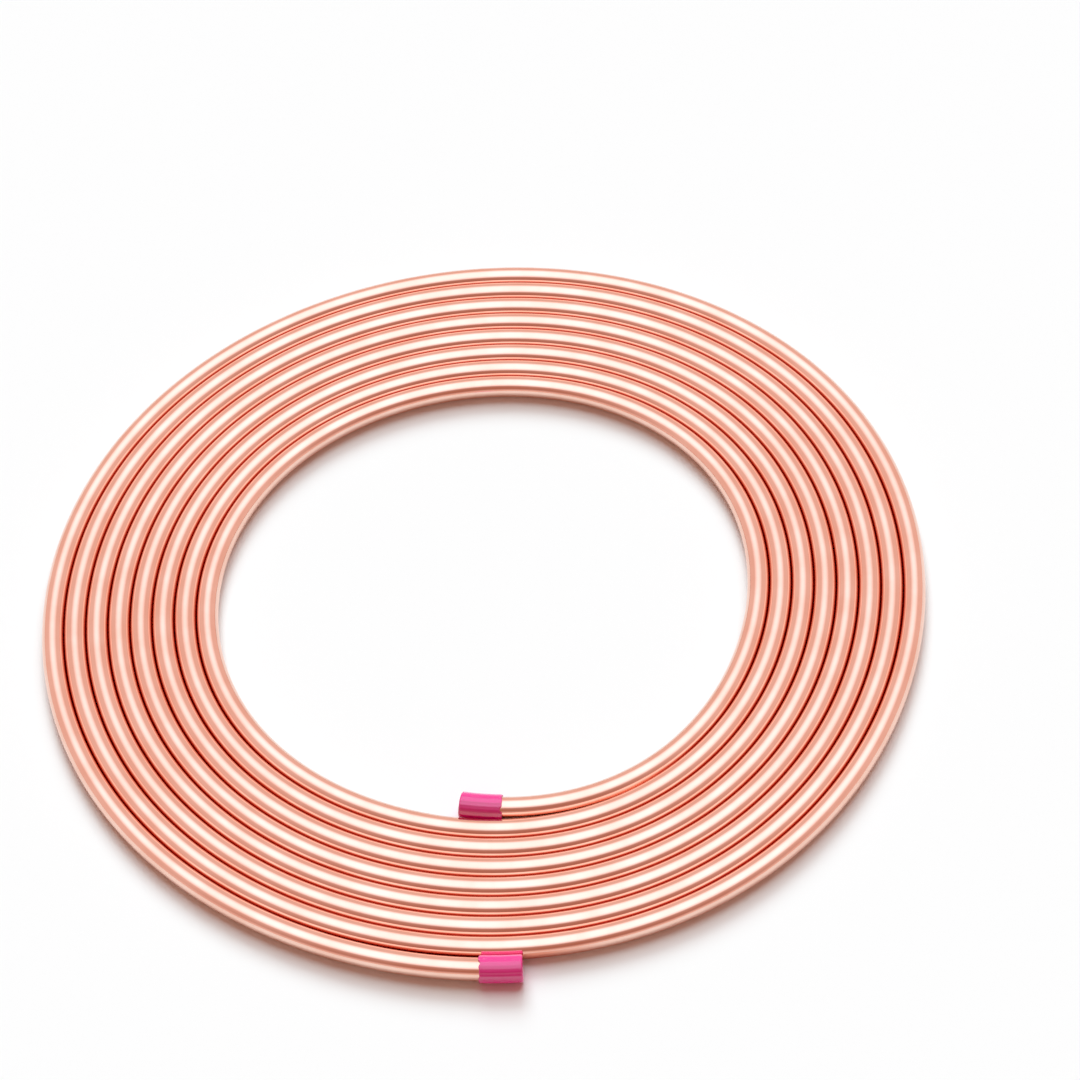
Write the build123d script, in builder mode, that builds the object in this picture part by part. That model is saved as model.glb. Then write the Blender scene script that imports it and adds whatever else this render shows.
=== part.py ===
"""A flat coil of soft copper tube, with a push-on plastic cap on each end.

The tube is wound in one layer as a spiral that grows outwards anticlockwise,
seen from above. Each turn lies close beside the one inside it, on the floor.
Lengths are in millimetres and angles in degrees. The origin is the middle of
the coil's eye, on the floor: +X to the right, +Y to the back, +Z up.
"""

import os
from math import asin, cos, degrees, radians, sqrt

from build123d import *

# Tube: soft drawn copper, 3/4 in outside
tube_od = 19.05
tube_wall = 1.07

# Coil
eye_diameter = 453.0  # clear width inside the first quarter turn
turn_gap = 0.25  # daylight between one turn and the next
quarter_turns = 31
start_angle = -50.0  # where the first quarter turn begins, at the front right

# End bends: each end of the tube leaves the coil on one wider or tighter bend
inner_bend = 43.2  # turning from the coil to the mouth of the inner cap
outer_bend = 44.0  # turning from the coil to the mouth of the outer cap
inner_cap_gap = 0.25  # from the mouth of the inner cap to the next turn
outer_cap_gap = 0.25  # from the mouth of the outer cap to the turn inside it

# Caps: soft moulded plastic
cap_length = 35.0
cap_wall = 2.05
cap_floor = 2.0
cap_clearance = 0.05  # between the tube and the bore of the cap
cap_end_round = 1.6  # round on the outer edge of the closed end
cap_lip = 1.5  # straight stretch at the mouth
cap_mouth_round = 0.5  # round on the outer edge of the lip
cap_lead_in = 0.4  # chamfer inside the lip

# Worked out from the sizes above
tube_radius = tube_od / 2
cap_bore_radius = tube_radius + cap_clearance
cap_radius = cap_bore_radius + cap_wall
pitch = tube_od + turn_gap
growth = pitch / 4
first_radius = eye_diameter / 2 + tube_radius
last_radius = first_radius + growth * (quarter_turns - 1)
centre_offset = growth / sqrt(2)
cap_lift = cap_radius - tube_radius  # the cap's wall lifts the tube off the floor


def bend_radius(coil_radius, side, bend, cap_gap):
    """Radius of an end bend that brings its cap clear of the next turn.

    coil_radius is what the next quarter turn would have, and side is 1 where
    the tube bends away outwards and -1 where it bends away inwards.
    """
    reach = cap_radius + tube_radius + cap_gap
    sideways = sqrt(reach**2 - cap_lift**2) - pitch
    return coil_radius + side * sideways / (1 - cos(radians(bend)))


def bend_plane(joint, heading, side, radius, bend):
    """Plane of an end bend, tilted so that the cap's mouth just meets the floor."""
    rise = cap_lift / (radius * (1 - cos(radians(bend))))
    tilt = side * degrees(asin(rise))
    upright = Vector(0, 0, 1)
    return Plane(origin=joint, x_dir=heading, z_dir=upright.rotate(Axis((0, 0, 0), heading), tilt))


def bend_arc(plane, side, radius, from_turn, to_turn):
    """Centreline of an end bend between two turning angles, away from the coil."""
    with BuildLine(plane) as stretch:
        CenterArc((0, side * radius), radius, side * (from_turn - 90), side * (to_turn - from_turn))
    return stretch.wire()


def make_cap(plane, side, radius, bend):
    """Cap on the end of a bend: a curved sleeve with a turned lip and closed end."""
    sleeve_start = bend + degrees(cap_lip / radius)
    sleeve_end = bend + degrees((cap_length - cap_floor) / radius)
    sleeve = bend_arc(plane, side, radius, sleeve_start, sleeve_end)
    lip_plane = Plane(origin=sleeve @ 0, x_dir=(sleeve % 0) * -1, z_dir=plane.z_dir)
    floor_plane = Plane(origin=sleeve @ 1, x_dir=sleeve % 1, z_dir=plane.z_dir)
    with BuildPart() as cap:
        with BuildSketch(Plane(origin=sleeve @ 0, z_dir=sleeve % 0)):
            Circle(cap_radius)
            Circle(cap_bore_radius, mode=Mode.SUBTRACT)
        sweep(path=sleeve)
        with BuildSketch(lip_plane) as lip:
            with Locations((0, cap_bore_radius)):
                Rectangle(cap_lip, cap_wall, align=(Align.MIN, Align.MIN))
            mouth_corners = lip.vertices().group_by(Axis.X)[-1].sort_by(Axis.Y)
            chamfer(mouth_corners[0], cap_lead_in)
            fillet(mouth_corners[-1], cap_mouth_round)
        revolve(axis=Axis(lip_plane.origin, lip_plane.x_dir))
        with BuildSketch(floor_plane) as closed_end:
            Rectangle(cap_floor, cap_radius, align=(Align.MIN, Align.MIN))
            end_corners = closed_end.vertices().group_by(Axis.X)[-1].sort_by(Axis.Y)
            fillet(end_corners[-1], cap_end_round)
        revolve(axis=Axis(floor_plane.origin, floor_plane.x_dir))
    return cap


# Centreline of the coil: quarter turns about four centres on a small square,
# so that each quarter is one growth wider than the last and joins it smoothly
with BuildLine() as coil_line:
    first_centre = Vector(centre_offset, 0).rotate(Axis.Z, start_angle + 135)
    quarter = CenterArc(first_centre, first_radius, start_angle, 90)
    for count in range(1, quarter_turns):
        quarter = JernArc(quarter @ 1, quarter % 1, first_radius + count * growth, 90)
coil = coil_line.wire().moved(Location((0, 0, tube_radius)))

# End bends
inner_radius = bend_radius(first_radius - growth, -1, inner_bend, inner_cap_gap)
outer_radius = bend_radius(last_radius + growth, 1, outer_bend, outer_cap_gap)
inner_plane = bend_plane(coil @ 0, (coil % 0) * -1, -1, inner_radius, inner_bend)
outer_plane = bend_plane(coil @ 1, coil % 1, 1, outer_radius, outer_bend)
tube_in_cap = cap_length - cap_floor
inner_end = inner_bend + degrees(tube_in_cap / inner_radius)
outer_end = outer_bend + degrees(tube_in_cap / outer_radius)

# The tube: one ring section swept from end to end
with BuildLine() as tube_line:
    add(bend_arc(inner_plane, -1, inner_radius, 0, inner_end))
    add(coil)
    add(bend_arc(outer_plane, 1, outer_radius, 0, outer_end))
tube_path = tube_line.wire()

with BuildPart() as copper_tube:
    with BuildSketch(Plane(origin=tube_path @ 0, z_dir=tube_path % 0)):
        Circle(tube_radius)
        Circle(tube_radius - tube_wall, mode=Mode.SUBTRACT)
    sweep(path=tube_path)
copper_tube.part.label = "copper_tube"

# The caps
inner_end_cap = make_cap(inner_plane, -1, inner_radius, inner_bend)
inner_end_cap.part.label = "inner_end_cap"

outer_end_cap = make_cap(outer_plane, 1, outer_radius, outer_bend)
outer_end_cap.part.label = "outer_end_cap"

os.makedirs("parts", exist_ok=True)
for piece in (copper_tube, inner_end_cap, outer_end_cap):
    export_step(piece.part, f"parts/{piece.part.label}.step")

print(f"tube length {tube_path.length / 1000:.3f} m, coil width {copper_tube.part.bounding_box().size.X:.1f} mm")
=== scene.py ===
"""Looks of a flat coil of soft copper tube, with a moulded cap pushed on each end.

The tube and its caps are made here as fine meshes from the real sizes, so that the
drawing lines run along the tube and each cap keeps its soft, slightly uneven skin.
Lengths are in metres and angles in degrees. The origin is the middle of the coil's
eye, on the floor: +X to the right, +Y to the back, +Z up.
"""

import logging
from dataclasses import dataclass, field
from enum import Enum
from math import asin, cos, degrees, pi, radians, sin, sqrt

import bmesh
import bpy
import numpy as np
from mathutils import Matrix, Vector

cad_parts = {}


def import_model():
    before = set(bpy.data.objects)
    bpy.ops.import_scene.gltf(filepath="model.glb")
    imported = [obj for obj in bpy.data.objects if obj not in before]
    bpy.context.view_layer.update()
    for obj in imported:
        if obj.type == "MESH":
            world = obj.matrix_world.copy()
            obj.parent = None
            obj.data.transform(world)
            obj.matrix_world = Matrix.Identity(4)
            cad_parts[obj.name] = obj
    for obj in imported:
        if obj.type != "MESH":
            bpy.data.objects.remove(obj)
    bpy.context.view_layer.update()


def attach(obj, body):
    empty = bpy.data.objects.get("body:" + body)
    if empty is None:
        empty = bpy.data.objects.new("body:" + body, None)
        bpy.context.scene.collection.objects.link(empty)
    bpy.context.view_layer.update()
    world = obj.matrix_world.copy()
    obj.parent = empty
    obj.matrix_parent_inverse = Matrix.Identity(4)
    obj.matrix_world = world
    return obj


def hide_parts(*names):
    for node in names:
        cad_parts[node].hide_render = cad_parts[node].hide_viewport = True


log = logging.getLogger("copper_tube_coil")

MM = 0.001
BODY = "root"
TUBE_PLACE = "tube_place"  # across, up and along the tube, in metres, at each point of a mesh
TURN_CONTACT = "turn_contact"  # 1 on the sides of the tube that touch another turn, else 0
QUARTER = 90.0  # degrees in a quarter turn
QUARTERS_IN_TURN = 4
SHARP_FROM = 35.0  # degrees between two faces from which their edge stays sharp
WELD_REACH = 0.001 * MM  # points closer than this are one


def linear(hex_colour: str) -> tuple[float, float, float, float]:
    """Turns an sRGB colour such as "#F3AA8E" into the linear colour that a node takes.

    Args:
        hex_colour: Six hex digits after a hash sign.

    Returns:
        Linear red, green, blue and an alpha of 1.
    """
    channels = [int(hex_colour[i:i + 2], 16) / 255 for i in (1, 3, 5)]
    dark_end, slope, shift, power = 0.04045, 12.92, 0.055, 2.4
    curve = [c / slope if c <= dark_end else ((c + shift) / (1 + shift)) ** power for c in channels]
    return (*curve, 1.0)


def add_node(
    tree: bpy.types.NodeTree,
    kind: str,
    values: dict | None = None,
    links: dict | None = None,
    **settings: object,
) -> bpy.types.Node:
    """Adds a node with its settings, its constant inputs and its links.

    Args:
        tree: The material's or the world's node tree.
        kind: The node's type name, without "ShaderNode".
        values: Constants by input name or number.
        links: Output sockets by the input name or number that they feed.
        **settings: Properties of the node itself.

    Returns:
        The new node.
    """
    node = tree.nodes.new("ShaderNode" + kind)
    for name, value in settings.items():
        setattr(node, name, value)
    for name, value in (values or {}).items():
        node.inputs[name].default_value = value
    for name, socket in (links or {}).items():
        tree.links.new(socket, node.inputs[name])
    return node


@dataclass(frozen=True)
class DrawnCopper:
    """Soft copper tube, drawn through a die and bright annealed.

    The eye sees a pale salmon metal that mirrors the room softly. Faint lines from the
    die run along the tube, and slow ripples from winding make the mirrored bands waver.
    """

    bright: str = "#F7D0C0"
    dulled: str = "#F3C6B4"  # where the film of oxide is a little thicker
    crevice_shade: str = "#DA8A72"  # painted shade: a darker copper along the crevice where one turn touches the next
    smooth: float = 0.045  # roughness along a clean stretch
    rubbed: float = 0.09  # roughness where turns and hands rubbed it
    die_line: float = 0.9 * MM  # real lines are near 0.1 mm, drawn coarser so that they show
    die_line_run: float = 160 * MM
    die_line_depth: float = 0.004 * MM
    rub_noise: tuple[float, float] = (0.12, 0.42)  # smooth at the first value, rubbed at the second
    ripple: float = 45 * MM
    ripple_depth: float = 0.05 * MM
    patch: float = 30 * MM
    oxide_noise: tuple[float, float] = (0.35, 0.65)  # bright at the first value, dulled at the second
    skin: float = 9.525 * MM  # the tube's outside radius
    crevice_shade_starts: float = 0.87  # painted shade begins here, sideways from the tube's middle, as a share of that radius
    crevice_shade_full: float = 0.94

    def material(self) -> bpy.types.Material:
        """Builds the copper from noise that is laid along the tube.

        Returns:
            The material.
        """
        mat = bpy.data.materials.new("drawn_annealed_copper")
        mat.use_nodes = True
        tree = mat.node_tree
        shader = tree.nodes["Principled BSDF"]
        place = add_node(tree, "Attribute", attribute_name=TUBE_PLACE).outputs["Vector"]

        stretch = (1 / self.die_line, 1 / self.die_line, 1 / self.die_line_run)
        along = add_node(tree, "Mapping", {"Scale": stretch}, {"Vector": place})
        lines = add_node(
            tree, "TexNoise", {"Scale": 1.0, "Detail": 2.0}, {"Vector": along.outputs["Vector"]}
        )
        ripples = add_node(
            tree, "TexNoise", {"Scale": 1 / self.ripple, "Detail": 1.0}, {"Vector": place}
        )
        patches = add_node(
            tree, "TexNoise", {"Scale": 1 / self.patch, "Detail": 3.0}, {"Vector": place}
        )

        rub = add_node(
            tree,
            "Math",
            links={0: lines.outputs["Fac"], 1: patches.outputs["Fac"]},
            operation="MULTIPLY",
        )
        least_rub, most_rub = self.rub_noise
        roughness = add_node(
            tree,
            "MapRange",
            {"From Min": least_rub, "From Max": most_rub, "To Min": self.smooth, "To Max": self.rubbed},
            {"Value": rub.outputs["Value"]},
        )
        least_oxide, most_oxide = self.oxide_noise
        oxide = add_node(
            tree,
            "MapRange",
            {"From Min": least_oxide, "From Max": most_oxide},
            {"Value": patches.outputs["Fac"]},
        )
        colour = add_node(
            tree,
            "Mix",
            {"A": linear(self.bright), "B": linear(self.dulled)},
            {"Factor": oxide.outputs["Result"]},
            data_type="RGBA",
        )
        # Painted shade: the colour darkens towards the crevices where the tube touches the next turn.
        sideways = add_node(tree, "SeparateXYZ", links={"Vector": place}).outputs["X"]
        from_middle = add_node(tree, "Math", links={0: sideways}, operation="ABSOLUTE").outputs["Value"]
        flank = add_node(
            tree,
            "MapRange",
            {"From Min": self.crevice_shade_starts * self.skin, "From Max": self.crevice_shade_full * self.skin},
            {"Value": from_middle},
            interpolation_type="SMOOTHSTEP",
        )
        touching = add_node(tree, "Attribute", attribute_name=TURN_CONTACT).outputs["Fac"]
        crevice_shade_share = add_node(
            tree, "Math", links={0: flank.outputs["Result"], 1: touching}, operation="MULTIPLY"
        )
        crevice_shaded_colour = add_node(
            tree,
            "Mix",
            {"B": linear(self.crevice_shade)},
            {"A": colour.outputs["Result"], "Factor": crevice_shade_share.outputs["Value"]},
            data_type="RGBA",
        )
        slow = add_node(
            tree, "Bump", {"Distance": self.ripple_depth}, {"Height": ripples.outputs["Fac"]}
        )
        fine = add_node(
            tree,
            "Bump",
            {"Distance": self.die_line_depth},
            {"Height": lines.outputs["Fac"], "Normal": slow.outputs["Normal"]},
        )

        shader.inputs["Metallic"].default_value = 1.0
        tree.links.new(crevice_shaded_colour.outputs["Result"], shader.inputs["Base Color"])
        tree.links.new(roughness.outputs["Result"], shader.inputs["Roughness"])
        tree.links.new(fine.outputs["Normal"], shader.inputs["Normal"])
        return mat


@dataclass(frozen=True)
class MouldedVinyl:
    """Soft PVC, dip moulded and dyed magenta.

    The eye sees a deep glossy pink with a soft highlight, a little uneven where the
    skin drew along the mandrel, and slightly cloudy where the dye is thinner.
    """

    dyed: str = "#E80886"
    thin: str = "#EE188E"  # where the dye is a little thinner
    gloss: float = 0.09
    handled: float = 0.17
    refraction: float = 1.53
    shine: float = 0.85  # specular level: the skin is glossier than plain PVC
    wet_look: float = 0.55  # weight of the clear plasticiser film on the skin
    wet_look_roughness: float = 0.05
    drag_line: float = 1.6 * MM
    drag_line_run: float = 30 * MM
    drag_line_depth: float = 0.012 * MM
    cloud: float = 6 * MM
    cloud_noise: tuple[float, float] = (0.3, 0.7)  # glossy at the first value, handled at the second

    def material(self) -> bpy.types.Material:
        """Builds the vinyl from noise that is laid along the cap.

        Returns:
            The material.
        """
        mat = bpy.data.materials.new("dip_moulded_vinyl")
        mat.use_nodes = True
        tree = mat.node_tree
        shader = tree.nodes["Principled BSDF"]
        place = add_node(tree, "Attribute", attribute_name=TUBE_PLACE).outputs["Vector"]

        stretch = (1 / self.drag_line, 1 / self.drag_line, 1 / self.drag_line_run)
        along = add_node(tree, "Mapping", {"Scale": stretch}, {"Vector": place})
        lines = add_node(
            tree, "TexNoise", {"Scale": 1.0, "Detail": 1.0}, {"Vector": along.outputs["Vector"]}
        )
        clouds = add_node(
            tree, "TexNoise", {"Scale": 1 / self.cloud, "Detail": 3.0}, {"Vector": place}
        )
        colour = add_node(
            tree,
            "Mix",
            {"A": linear(self.dyed), "B": linear(self.thin)},
            {"Factor": clouds.outputs["Fac"]},
            data_type="RGBA",
        )
        least_cloud, most_cloud = self.cloud_noise
        roughness = add_node(
            tree,
            "MapRange",
            {"From Min": least_cloud, "From Max": most_cloud, "To Min": self.gloss, "To Max": self.handled},
            {"Value": clouds.outputs["Fac"]},
        )
        drag = add_node(
            tree, "Bump", {"Distance": self.drag_line_depth}, {"Height": lines.outputs["Fac"]}
        )

        shader.inputs["IOR"].default_value = self.refraction
        shader.inputs["Specular IOR Level"].default_value = self.shine
        shader.inputs["Coat Weight"].default_value = self.wet_look
        shader.inputs["Coat Roughness"].default_value = self.wet_look_roughness
        tree.links.new(colour.outputs["Result"], shader.inputs["Base Color"])
        tree.links.new(roughness.outputs["Result"], shader.inputs["Roughness"])
        tree.links.new(drag.outputs["Normal"], shader.inputs["Normal"])
        return mat


@dataclass(frozen=True)
class PaintedFloor:
    """A smooth floor in matt white paint, which fills the picture and takes the shadow."""

    white: str = "#F8F8F8"
    roughness: float = 0.9

    def material(self) -> bpy.types.Material:
        """Builds the paint.

        Returns:
            The material.
        """
        mat = bpy.data.materials.new("matt_white_paint")
        mat.use_nodes = True
        shader = mat.node_tree.nodes["Principled BSDF"]
        shader.inputs["Base Color"].default_value = linear(self.white)
        shader.inputs["Roughness"].default_value = self.roughness
        shader.inputs["Specular IOR Level"].default_value = 0.0
        return mat


@dataclass(frozen=True)
class Arc:
    """An arc of the tube's centreline, lying in a plane of its own."""

    start: np.ndarray
    heading: np.ndarray  # unit vector, the way the tube goes at the start
    inward: np.ndarray  # unit vector, from the start to the arc's centre
    radius: float
    turn: float

    def length(self) -> float:
        """The arc's length."""
        return self.radius * radians(self.turn)

    def follow(self, travelled: np.ndarray) -> tuple[np.ndarray, np.ndarray]:
        """Finds places on the arc.

        Args:
            travelled: Distances from the arc's start.

        Returns:
            The place and the heading at each distance.
        """
        turned = (travelled / self.radius)[:, None]
        ahead = np.sin(turned) * self.heading
        aside = (1 - np.cos(turned)) * self.inward
        heading = np.cos(turned) * self.heading + np.sin(turned) * self.inward
        return self.start + self.radius * (ahead + aside), heading

    def turned_round(self) -> "Arc":
        """Gives the same arc, followed from its end back to its start.

        Returns:
            The arc the other way round.
        """
        places, headings = self.follow(np.array([self.length()]))
        swing = radians(self.turn)
        inward = cos(swing) * self.inward - sin(swing) * self.heading
        return Arc(places[0], -headings[0], inward, self.radius, self.turn)


def compass(angle: float) -> np.ndarray:
    """The level unit vector at an angle from +X, anticlockwise from above."""
    return np.array([cos(radians(angle)), sin(radians(angle)), 0.0])


def angles_round(sides: int) -> np.ndarray:
    """The angles of evenly spaced points round the tube, in radians."""
    return np.arange(sides) * 2 * pi / sides


class Side(Enum):
    """Where a tube end goes: into the coil's eye or out past its last turn."""

    INWARDS = -1
    OUTWARDS = 1


@dataclass(frozen=True)
class Winding:
    """The way the tube is wound: one flat layer of close turns, from the eye outwards.

    The spiral is made of quarter turns. Each has its own centre, on a small square
    round the middle of the eye, so that the tube moves out by one pitch in a turn.
    """

    tube_outside: float = 19.05 * MM
    tube_wall: float = 1.07 * MM
    eye: float = 453.0 * MM  # clear width inside the first quarter turn
    turn_gap: float = 0.25 * MM
    quarter_turns: int = 31
    start_angle: float = -50.0
    cap_outside: float = 23.25 * MM
    cap_grip: float = 33.0 * MM  # the length of tube inside a cap
    inner_bend: float = 43.2
    inner_cap_gap: float = 0.25 * MM
    outer_bend: float = 44.0
    outer_cap_gap: float = 0.25 * MM

    def pitch(self) -> float:
        """The distance from the middle of one turn to the middle of the next."""
        return self.tube_outside + self.turn_gap

    def end_bend(self, last: Arc, side: Side, bend: float, cap_gap: float) -> Arc:
        """Bends a tube end out of the spiral, so that its cap clears the turn beside it.

        Args:
            last: The quarter turn that the bend leaves from the end of.
            side: Where the tube end goes.
            bend: Angle turned from the spiral to the cap's mouth.
            cap_gap: Clear gap between the cap and the turn beside it.

        Returns:
            The bend, from the spiral to the tube's end.
        """
        reach = (self.cap_outside + self.tube_outside) / 2 + cap_gap
        lift = (self.cap_outside - self.tube_outside) / 2
        sideways = sqrt(reach ** 2 - lift ** 2) - self.pitch()
        bow = 1 - cos(radians(bend))
        radius = last.radius + side.value * (self.pitch() / QUARTERS_IN_TURN + sideways / bow)
        tilt = asin(lift / (radius * bow))
        turned_round = last.turned_round()
        inward = cos(tilt) * turned_round.inward + sin(tilt) * np.array([0.0, 0.0, 1.0])
        turn = bend + degrees(self.cap_grip / radius)
        return Arc(turned_round.start, -turned_round.heading, inward, radius, turn)

    def arcs(self) -> list[Arc]:
        """Lays out the whole centreline.

        Returns:
            The arcs, in order from the tube's inner end to its outer end.
        """
        growth = self.pitch() / QUARTERS_IN_TURN
        first_radius = (self.eye + self.tube_outside) / 2
        height = np.array([0.0, 0.0, self.tube_outside / 2])
        spiral = []
        for quarter in range(self.quarter_turns):
            angle = self.start_angle + QUARTER * quarter
            radius = first_radius + growth * quarter
            centre = height + growth / sqrt(2) * compass(angle + 1.5 * QUARTER)
            outward = compass(angle)
            start = centre + radius * outward
            spiral.append(Arc(start, compass(angle + QUARTER), -outward, radius, QUARTER))
        inner = self.end_bend(spiral[0].turned_round(), Side.INWARDS, self.inner_bend, self.inner_cap_gap)
        outer = self.end_bend(spiral[-1], Side.OUTWARDS, self.outer_bend, self.outer_cap_gap)
        return [inner.turned_round(), *spiral, outer]


@dataclass(frozen=True)
class OutOfRound:
    """How far a hand-wound coil is from round: all its turns swell and shrink together.

    The turns keep their gaps, because the swell depends only on the angle round the eye.
    """

    waves: tuple[tuple[int, float, float], ...] = (  # crests in a turn, height, first crest's angle
        (3, 2.64 * MM, 49.3),
        (4, 0.96 * MM, 29.9),
        (5, 0.28 * MM, 5.1),
    )

    def swell(self, places: np.ndarray, headings: np.ndarray) -> tuple[np.ndarray, np.ndarray]:
        """Moves places of the round coil to where they are on the uneven one.

        Args:
            places: Places on the centreline.
            headings: The centreline's heading at each.

        Returns:
            The places and headings of the uneven coil.
        """
        around = np.arctan2(places[:, 1], places[:, 0])
        outward = np.stack([np.cos(around), np.sin(around), around * 0], -1)
        onward = np.stack([-np.sin(around), np.cos(around), around * 0], -1)
        swollen, slope = np.zeros(len(places)), np.zeros(len(places))
        for crests, height, first in self.waves:
            phase = crests * (around - radians(first))
            swollen += height * np.cos(phase)
            slope -= crests * height * np.sin(phase)
        turning = (headings * onward).sum(axis=1) / np.hypot(places[:, 0], places[:, 1])
        shift = slope[:, None] * outward + swollen[:, None] * onward
        bent = headings + turning[:, None] * shift
        bent /= np.linalg.norm(bent, axis=1)[:, None]
        return places + swollen[:, None] * outward, bent


@dataclass(frozen=True)
class Centreline:
    """The tube's centreline, measured from its inner end."""

    arcs: list[Arc]
    out_of_round: OutOfRound = field(default_factory=OutOfRound)

    def length(self) -> float:
        """The tube's length."""
        return sum(arc.length() for arc in self.arcs)

    def rings(self, distances: np.ndarray) -> tuple[np.ndarray, np.ndarray, np.ndarray]:
        """Finds where rings of points round the tube go.

        Args:
            distances: Distances from the inner end. Past an end the line goes straight on.

        Returns:
            Each ring's middle, and the unit vectors across and up in its plane.
        """
        ends = np.cumsum([arc.length() for arc in self.arcs])
        on_line = np.clip(distances, 0, ends[-1])
        which = np.minimum(np.searchsorted(ends, on_line), len(ends) - 1)
        middles = np.empty((len(distances), 3))
        headings = np.empty((len(distances), 3))
        for number, arc in enumerate(self.arcs):
            here = which == number
            travelled = on_line[here] - (ends[number] - arc.length())
            middles[here], headings[here] = arc.follow(travelled)
        middles += (distances - on_line)[:, None] * headings
        middles, headings = self.out_of_round.swell(middles, headings)
        across = np.cross(headings, [0.0, 0.0, 1.0])
        across /= np.linalg.norm(across, axis=1)[:, None]
        return middles, across, np.cross(across, headings)


def swept_mesh(
    name: str, line: Centreline, distances: np.ndarray, radii: np.ndarray, closed: bool
) -> bpy.types.Object:
    """Makes a round skin along the centreline from its profile.

    Args:
        name: The new object's name.
        line: The tube's centreline.
        distances: Distances along the line, or one row of them for each point round it.
        radii: Radii at those distances, in the same form.
        closed: Whether the profile's last point joins its first. An open profile starts
            and ends on the line itself.

    Returns:
        The object, with its places along the tube kept as an attribute.
    """
    sides = radii.shape[1]
    angles = angles_round(sides)
    middles, across, up = line.rings(distances.ravel())
    shape = (*radii.shape, 3)
    middles, across, up = (a.reshape(shape) for a in (middles, across, up))
    spokes = np.cos(angles)[None, :, None] * across + np.sin(angles)[None, :, None] * up
    points = (middles + radii[:, :, None] * spokes).reshape(-1, 3)
    places = np.stack([radii * np.cos(angles), radii * np.sin(angles), distances], -1).reshape(-1, 3)

    rings = len(radii)
    ring = np.arange(rings if closed else rings - 1)[:, None]
    side = np.arange(sides)[None, :]
    following, beside = (ring + 1) % rings, (side + 1) % sides
    corners = [
        ring * sides + side,
        ring * sides + beside,
        following * sides + beside,
        following * sides + side,
    ]
    faces = np.stack([corner.ravel() for corner in corners], -1).tolist()

    mesh = bpy.data.meshes.new(name)
    mesh.from_pydata(points.tolist(), [], faces)
    kept = mesh.attributes.new(TUBE_PLACE, "FLOAT_VECTOR", "POINT")
    kept.data.foreach_set("vector", places.ravel())
    if not closed:
        weld_ends(mesh)
    mesh.validate()
    mesh.shade_smooth()
    mesh.set_sharp_from_angle(angle=radians(SHARP_FROM))
    made = bpy.data.objects.new(name, mesh)
    bpy.context.scene.collection.objects.link(made)
    return made


def weld_ends(mesh: bpy.types.Mesh) -> None:
    """Joins the points that lie on one another where an open profile meets the line.

    Args:
        mesh: The mesh to clean.
    """
    shell = bmesh.new()
    shell.from_mesh(mesh)
    bmesh.ops.remove_doubles(shell, verts=shell.verts, dist=WELD_REACH)
    shell.to_mesh(mesh)
    shell.free()


@dataclass
class CopperTube:
    """The tube: one length of soft copper with its bore, from end to end."""

    winding: Winding
    line: Centreline
    finish: DrawnCopper = field(default_factory=DrawnCopper)
    sides: int = 36
    outside_step: float = 8.2 * MM  # between rings of points on the outside
    bore_step: float = 30.0 * MM
    oval: float = 0.11 * MM  # wound tube bulges a little sideways, against the next turn
    contact_ease: float = 60.0 * MM  # the contact with the next turn, its bulge and its painted shade, fades over this length

    def build(self) -> bpy.types.Object:
        """Makes the outside, the bore and the two cut ends as one closed skin.

        Returns:
            The tube.
        """
        length = self.line.length()
        outside = self.winding.tube_outside / 2
        bore = outside - self.winding.tube_wall
        there = np.linspace(0, length, round(length / self.outside_step))
        back = np.linspace(length, 0, round(length / self.bore_step))
        distances = np.concatenate([there, back])
        radii = np.concatenate([np.full(len(there), outside), np.full(len(back), bore)])
        rows = [np.repeat(a[:, None], self.sides, axis=1) for a in (distances, radii)]
        contact = self.contact(distances)
        sideways = np.cos(angles_round(self.sides)) ** 2
        rows[1] += self.oval * contact * sideways[None, :]
        tube = swept_mesh("coiled_tube", self.line, *rows, closed=True)
        # The contact share also places the painted shade in the copper's colour.
        touching = tube.data.attributes.new(TURN_CONTACT, "FLOAT", "POINT")
        touching.data.foreach_set("value", contact.ravel())
        tube.data.materials.append(self.finish.material())
        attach(tube, BODY)
        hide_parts("copper_tube")
        return tube

    def contact(self, distances: np.ndarray) -> np.ndarray:
        """Tells which sides of the tube lie against another turn.

        The bends at the tube's ends stand off from the turn beside them, apart from the
        stretches next to the spiral.

        Args:
            distances: Distances of the rings of points along the tube.

        Returns:
            For each ring, 1 at the points that touch another turn and 0 at the others.
        """
        borders = np.cumsum([0.0] + [arc.length() for arc in self.line.arcs])
        inner_bend, outer_bend = borders[1], borders[-1] - borders[-2]
        last_turn = borders[-2 - QUARTERS_IN_TURN] + outer_bend
        second_turn = borders[1 + QUARTERS_IN_TURN]
        with_outer = inner_bend - self.contact_ease, last_turn + self.contact_ease
        with_inner = second_turn - self.contact_ease, borders[-1]
        shares = []
        for start, end in (with_outer, with_inner):
            inside = np.minimum(distances - start, end - distances)
            shares.append(np.clip(inside / self.contact_ease, 0, 1))
        faces_out = np.cos(angles_round(self.sides)) > 0
        return np.where(faces_out[None, :], shares[0][:, None], shares[1][:, None])


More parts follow.
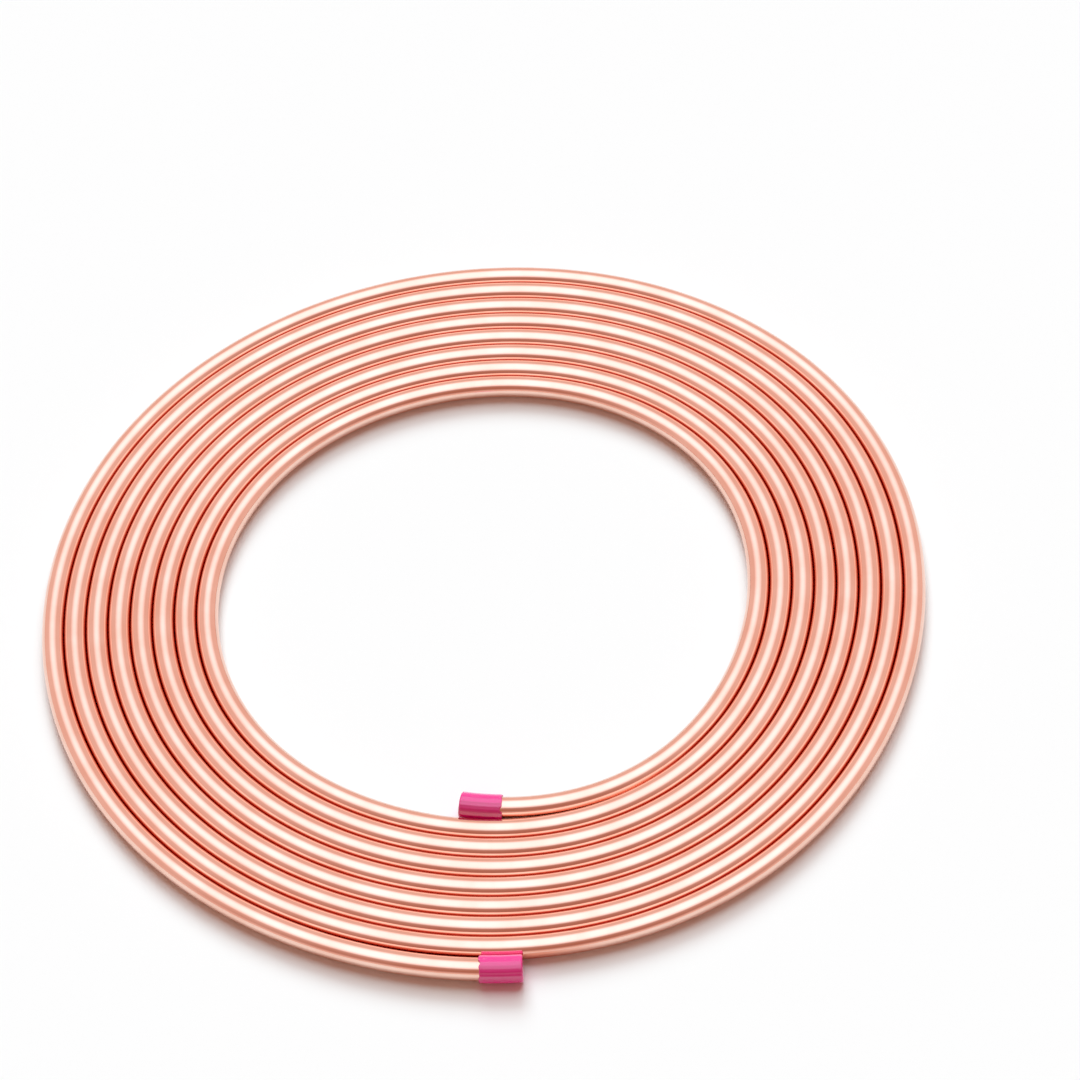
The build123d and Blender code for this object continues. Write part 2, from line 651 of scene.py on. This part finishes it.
@dataclass
class EndCap:
    """A cap dip moulded over a round mandrel: a sleeve with one closed, rounded end."""

    name: str
    node: str
    line: Centreline
    tube_end: float  # distance along the line to the end that the cap closes
    towards_mouth: int  # 1 where the mouth lies further along the line, -1 where it lies back
    seed: int
    finish: bpy.types.Material
    length: float = 35.0 * MM
    floor: float = 2.0 * MM
    outside: float = 23.25 * MM
    bore: float = 19.15 * MM
    end_round: float = 1.6 * MM
    mouth_round: float = 0.5 * MM
    lead_in: float = 0.4 * MM
    sides: int = 96
    face_rings: int = 6
    round_rings: int = 7
    sleeve_rings: int = 18
    bore_rings: int = 12
    rim_unevenness: float = 1.6 * MM
    rim_fade: int = 8  # power of the distance: only the mouth's end of the sleeve is uneven
    rim_lobes: tuple[int, ...] = (2, 3, 5, 7, 11)
    skin_unevenness: float = 0.44 * MM
    skin_lobes: tuple[int, ...] = (5, 11, 17, 23)

    def profile(self) -> tuple[np.ndarray, np.ndarray]:
        """Draws the cap's section, from the middle of its closed end round to its floor.

        Returns:
            Distances from the closed end's face towards the mouth, and radii.
        """
        outside, bore = self.outside / 2, self.bore / 2
        quarter = np.radians(np.linspace(0, QUARTER, self.round_rings))
        face = np.linspace(0, outside - self.end_round, self.face_rings)[:-1]
        corner = (
            self.end_round * (1 - np.cos(quarter)),
            outside - self.end_round * (1 - np.sin(quarter)),
        )
        sleeve = np.linspace(self.end_round, self.length - self.mouth_round, self.sleeve_rings)[1:-1]
        lip = (
            self.length - self.mouth_round * (1 - np.sin(quarter)),
            outside - self.mouth_round * (1 - np.cos(quarter)),
        )
        inside = np.linspace(self.length - self.lead_in, self.floor, self.bore_rings)
        distances = [face * 0, corner[0], sleeve, lip[0], [self.length], inside, [self.floor]]
        radii = [
            face,
            corner[1],
            np.full(len(sleeve), outside),
            lip[1],
            [bore + self.lead_in],
            np.full(len(inside), bore),
            [0],
        ]
        return np.concatenate(distances), np.concatenate(radii)

    def build(self) -> bpy.types.Object:
        """Makes the cap, with an uneven rim and a skin that is not quite round.

        Returns:
            The cap.
        """
        distances, radii = self.profile()
        angles = angles_round(self.sides)
        ragged = self.waves(angles, self.rim_lobes)
        flats = self.waves(angles, self.skin_lobes)
        near_mouth = np.clip(distances / self.length, 0, 1)[:, None] ** self.rim_fade
        far_from_tube = (radii > self.bore / 2 + self.lead_in)[:, None]
        rows = distances[:, None] + self.rim_unevenness * near_mouth * ragged[None, :]
        widths = radii[:, None] - self.skin_unevenness * far_from_tube * (1 + flats[None, :]) / 2
        widths = np.clip(widths, 0, None)
        start = self.tube_end - self.towards_mouth * self.floor
        cap = swept_mesh(self.name, self.line, start + self.towards_mouth * rows, widths, closed=False)
        if self.towards_mouth < 0:
            cap.data.flip_normals()
        cap.data.materials.append(self.finish)
        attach(cap, BODY)
        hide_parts(self.node)
        return cap

    def waves(self, angles: np.ndarray, lobes: tuple[int, ...]) -> np.ndarray:
        """Adds up a few waves round the cap.

        Args:
            angles: Angles round the cap, in radians.
            lobes: How many crests each wave has.

        Returns:
            Heights between -1 and 1.
        """
        chance = np.random.default_rng(self.seed)
        turns = chance.uniform(0, 2 * pi, len(lobes))
        return sum(np.cos(n * angles + t) for n, t in zip(lobes, turns)) / len(lobes)


@dataclass(frozen=True)
class BackLight:
    """A large soft light behind the coil, far away."""

    level: float  # how bright it alone makes a white floor
    height: float
    swing: float  # towards the left, from straight behind the coil
    width: float

    def hang(self, colour: tuple[float, float, float]) -> bpy.types.Object:
        """Makes the light, which bare metal doesn't mirror.

        Args:
            colour: Linear colour of the light.

        Returns:
            The light.
        """
        height = radians(self.height)
        lamp = bpy.data.lights.new("back_light", "SUN")
        lamp.energy = pi * self.level / sin(height)
        lamp.color = colour
        lamp.angle = radians(self.width)
        light = bpy.data.objects.new("back_light", lamp)
        towards = -compass(90 + self.swing) * cos(height)
        towards[2] = -sin(height)
        light.rotation_mode = "QUATERNION"
        light.rotation_quaternion = Vector(towards).to_track_quat("-Z", "Y")
        light.visible_glossy = False
        bpy.context.scene.collection.objects.link(light)
        return light


@dataclass
class Studio:
    """A white floor lit from overhead and from behind, in a room dim behind the camera.

    Bare metal shows the room as it is. The floor and the caps get an even light from it,
    and the two back lights add the soft shadow that falls towards the camera.
    """

    floor_size: float = 14.0
    floor_drop: float = 0.02 * MM
    light_tilt: float = 6.8  # from straight overhead towards the back
    light_core: float = 13.5  # half angle inside which the overhead light is full
    light_edge: float = 49.5  # half angle at which it has faded into the walls
    overhead: tuple[float, float, float, float] = (1.55, 1.64, 1.79, 1.0)
    walls: tuple[float, float, float, float] = (0.895, 0.646, 0.585, 1.0)
    camera_side: tuple[float, float, float, float] = (0.44, 0.185, 0.133, 1.0)
    dim_spread: tuple[float, float] = (-1.0, 0.11)  # +Y of a direction: dim at -1, not at 0.11
    dim_rise: tuple[float, float] = (0.05, 0.46)  # +Z of a direction: the dark begins over a pale base
    even_light: tuple[float, float, float, float] = (0.36, 0.18, 0.13, 1.0)  # warm
    back_lights: tuple[BackLight, ...] = (BackLight(0.60, 58, -10, 60), BackLight(0.325, 36, 2, 26))
    back_light_colour: tuple[float, float, float] = (0.751, 0.945, 1.0)  # cool, so all make white
    mirror_bounces: int = 12  # light goes many times to and fro between two turns

    def build_floor(self) -> bpy.types.Object:
        """Makes the floor.

        Returns:
            The floor.
        """
        half = self.floor_size / 2
        mesh = bpy.data.meshes.new("floor")
        outline = ((-half, -half), (half, -half), (half, half), (-half, half))
        corners = [(x, y, -self.floor_drop) for x, y in outline]
        mesh.from_pydata(corners, [], [(0, 1, 2, 3)])
        mesh.materials.append(PaintedFloor().material())
        floor = bpy.data.objects.new("floor", mesh)
        bpy.context.scene.collection.objects.link(floor)
        return floor

    def light_room(self) -> None:
        """Lights the room from the world: the overhead light, the walls and the dim side."""
        world = bpy.data.worlds.new("studio")
        bpy.context.scene.world = world
        bpy.context.scene.cycles.glossy_bounces = self.mirror_bounces
        world.use_nodes = True
        tree = world.node_tree
        way = add_node(tree, "TexCoord").outputs["Generated"]
        axes = add_node(tree, "SeparateXYZ", links={"Vector": way}).outputs

        tilt = radians(self.light_tilt)
        towards_light = add_node(
            tree, "VectorMath", {1: (0.0, sin(tilt), cos(tilt))}, {0: way}, operation="DOT_PRODUCT"
        )
        lit = add_node(
            tree,
            "MapRange",
            {"From Min": cos(radians(self.light_edge)), "From Max": cos(radians(self.light_core))},
            {"Value": towards_light.outputs["Value"]},
            interpolation_type="SMOOTHSTEP",
        )
        facing_camera = add_node(
            tree,
            "MapRange",
            {"From Min": self.dim_spread[0], "From Max": self.dim_spread[1], "To Min": 1.0, "To Max": 0.0},
            {"Value": axes["Y"]},
            interpolation_type="SMOOTHSTEP",
        )
        raised = add_node(
            tree,
            "MapRange",
            {"From Min": self.dim_rise[0], "From Max": self.dim_rise[1]},
            {"Value": axes["Z"]},
            interpolation_type="SMOOTHSTEP",
        )
        dim = add_node(
            tree,
            "Math",
            links={0: facing_camera.outputs["Result"], 1: raised.outputs["Result"]},
            operation="MULTIPLY",
        )
        room = add_node(
            tree,
            "Mix",
            {"A": self.walls, "B": self.camera_side},
            {"Factor": dim.outputs["Value"]},
            data_type="RGBA",
        )
        mirrored = add_node(
            tree,
            "Mix",
            {"B": self.overhead},
            {"A": room.outputs["Result"], "Factor": lit.outputs["Result"]},
            data_type="RGBA",
        )

        ray = add_node(tree, "LightPath").outputs
        lighting = add_node(
            tree,
            "Mix",
            {"A": self.even_light},
            {"B": mirrored.outputs["Result"], "Factor": ray["Is Glossy Ray"]},
            data_type="RGBA",
        )
        shown = add_node(
            tree,
            "Mix",
            {"B": (1.0, 1.0, 1.0, 1.0)},
            {"A": lighting.outputs["Result"], "Factor": ray["Is Camera Ray"]},
            data_type="RGBA",
        )
        tree.links.new(shown.outputs["Result"], tree.nodes["Background"].inputs["Color"])


@dataclass
class PhotoCamera:
    """A long lens on a tall stand, tipped down at the coil and rolled a little."""

    target: tuple[float, float, float] = (0.0471, 0.05465, 0.0095)
    distance: float = 3.3463
    elevation: float = 50.837
    roll: float = -5.154
    lens_mm: float = 126.742
    sensor_mm: float = 36.0

    def build(self) -> bpy.types.Object:
        """Makes the scene's camera.

        Returns:
            The camera.
        """
        tip, roll = radians(self.elevation), radians(self.roll)
        ahead = Vector((0.0, cos(tip), -sin(tip)))
        level = Vector((1.0, 0.0, 0.0))
        upright = level.cross(ahead)
        right = cos(roll) * level + sin(roll) * upright
        up = cos(roll) * upright - sin(roll) * level
        camera = bpy.data.objects.new("camera", bpy.data.cameras.new("camera"))
        camera.data.lens = self.lens_mm
        camera.data.sensor_width = self.sensor_mm
        turn = Matrix((right, up, -ahead)).transposed().to_4x4()
        camera.matrix_world = Matrix.Translation(Vector(self.target) - ahead * self.distance) @ turn
        bpy.context.scene.collection.objects.link(camera)
        bpy.context.scene.camera = camera
        return camera


def main() -> None:
    """Builds the camera, the studio and every piece, in order."""
    logging.basicConfig(level=logging.INFO, format="%(name)s: %(message)s")
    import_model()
    bpy.context.scene.view_settings.view_transform = "Standard"
    PhotoCamera().build()
    studio = Studio()
    studio.build_floor()
    for back_light in studio.back_lights:
        back_light.hang(studio.back_light_colour)
    studio.light_room()

    winding = Winding()
    line = Centreline(winding.arcs())
    tube = CopperTube(winding, line).build()
    log.info("%s: %.3f m of tube, %d faces", tube.name, line.length(), len(tube.data.polygons))
    vinyl = MouldedVinyl().material()
    caps = (
        EndCap("inner_cap", "inner_end_cap", line, tube_end=0.0, towards_mouth=1, seed=3, finish=vinyl),
        EndCap(
            "outer_cap",
            "outer_end_cap",
            line,
            tube_end=line.length(),
            towards_mouth=-1,
            seed=8,
            finish=vinyl,
        ),
    )
    for cap in caps:
        made = cap.build()
        log.info("%s: %d faces", made.name, len(made.data.polygons))


if __name__ == "__main__":
    main()
